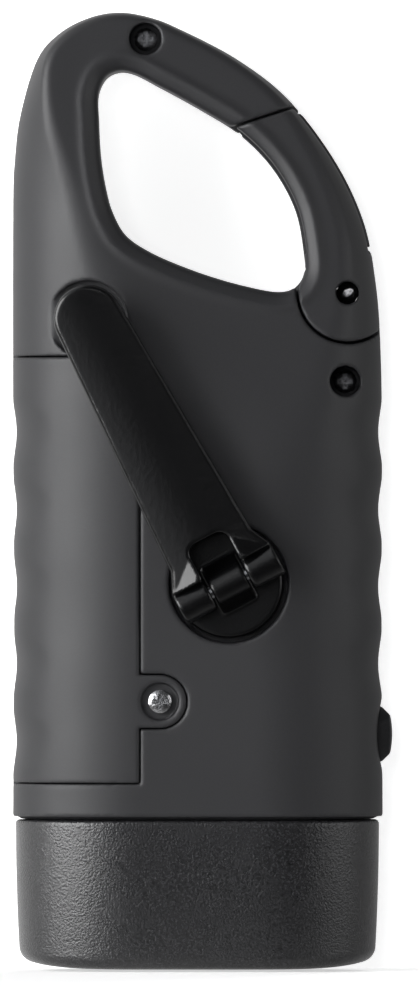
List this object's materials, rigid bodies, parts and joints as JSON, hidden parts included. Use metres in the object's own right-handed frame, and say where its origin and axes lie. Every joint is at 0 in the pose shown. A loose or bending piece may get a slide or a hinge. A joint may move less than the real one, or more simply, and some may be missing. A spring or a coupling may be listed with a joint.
{
  "type": "hand crank flashlight",
  "caption": "Hand crank flashlight with a folding crank and knob, a spring gate carabiner top, a screwed battery door, a side button and a lamp head at the base.",
  "frame": {"origin": "middle of the lamp head's rim plane, under the middle of the bounding box, where the torch stands on its head", "axes": "+Z from the lamp head up to the carabiner, -Y towards the crank side, +X towards the power button"},
  "size_m": [0.0474, 0.034, 0.1194],
  "materials": {
    "soft_touch_shell": "moulded ABS with a soft-touch coat, matt charcoal",
    "battery_door": "moulded ABS with a soft-touch coat, matt charcoal",
    "bezel_textured": "spark-textured black ABS",
    "crank_gloss": "polished black ABS",
    "button_black": "black ABS",
    "inner_black": "black ABS, as moulded",
    "lens_clear": "clear polycarbonate",
    "reflector_chrome": "vacuum metallised",
    "led_clear": "clear epoxy",
    "board_green": "solder mask on glass epoxy board",
    "screw_bright": "bright nickel-plated steel",
    "screw_dull": "black-zinc-plated steel",
    "steel": "ground steel",
    "spring_steel": "drawn spring wire",
    "brass": "turned brass",
    "copper_wire": "enamelled copper winding",
    "nylon_white": "natural nylon, as moulded",
    "magnet": "ferrite, ground",
    "cell_sleeve": "shrink sleeve"
  },
  "bodies": {
    "housing": {"front_shell": "soft_touch_shell", "back_shell": "soft_touch_shell", "battery_door": "battery_door", "battery_door_screw": "screw_bright", "shell_screw_top": "screw_dull", "shell_screw_side": "screw_dull", "gate_pin": "screw_bright", "gate_spring": "spring_steel", "head_bezel": "bezel_textured", "lens": "lens_clear", "reflector": "reflector_chrome", "led_board": "board_green", "led_1": "led_clear", "led_2": "led_clear", "led_3": "led_clear", "hub_bush": "brass", "gear_plate": "steel", "gear_plate_screw_1": "screw_bright", "gear_plate_screw_2": "screw_bright", "gear_plate_screw_3": "screw_bright", "idler_axle": "steel", "battery_tray": "inner_black", "battery_cell": "cell_sleeve", "battery_contact_positive": "spring_steel", "battery_contact_negative": "spring_steel", "power_switch": "inner_black", "circuit_board": "board_green", "capacitor": "inner_black", "generator_can": "steel", "stator_coil": "copper_wire"},
    "crank_hub": {"crank_hub": "crank_gloss", "crank_hinge_pin": "steel", "crank_gear": "nylon_white"},
    "crank_arm": {"crank_arm": "crank_gloss", "knob_screw": "screw_bright"},
    "crank_knob": {"crank_knob": "crank_gloss"},
    "idler": {"idler_gear": "nylon_white"},
    "rotor": {"rotor_pinion": "brass", "rotor_shaft": "steel", "rotor_magnet": "magnet"},
    "gate": {"gate": "soft_touch_shell"},
    "power_button": {"power_button": "button_black"}
  },
  "joints": [
    {"name": "crank_spin", "type": "hinge", "parent": "housing", "child": "crank_hub", "pos_m": [0.00325, -0.011, 0.0481], "axis": [0, -1, 0], "continuous": true},
    {"name": "crank_fold", "type": "hinge", "parent": "crank_hub", "child": "crank_arm", "pos_m": [0.00325, -0.0142, 0.0481], "axis": [0.8829, 0, 0.4695], "range_deg": [0, 180]},
    {"name": "knob_spin", "type": "hinge", "parent": "crank_arm", "child": "crank_knob", "pos_m": [-0.01421, -0.013, 0.08095], "axis": [0, -1, 0], "continuous": true},
    {"name": "idler_spin", "type": "hinge", "parent": "housing", "child": "idler", "pos_m": [0.0069, 0.008, 0.06141], "axis": [0, -1, 0], "continuous": true},
    {"name": "rotor_spin", "type": "hinge", "parent": "housing", "child": "rotor", "pos_m": [0.00165, 0.008, 0.0705], "axis": [0, -1, 0], "continuous": true},
    {"name": "gate_swing", "type": "hinge", "parent": "housing", "child": "gate", "pos_m": [0.01805, 0.003, 0.0843], "axis": [0, -1, 0], "range_deg": [0, 26], "stiffness_Nm_per_rad": 0.05, "springref_deg": -20.05},
    {"name": "button_press", "type": "slide", "parent": "housing", "child": "power_button", "axis": [-1, 0, 0], "range_m": [0, 0.0008], "stiffness_N_per_m": 800, "springref_m": -0.0006}
  ],
  "couplings": [
    {"joint": "idler_spin", "follows": "crank_spin", "ratio": -3.6},
    {"joint": "rotor_spin", "follows": "crank_spin", "ratio": 11.52}
  ]
}
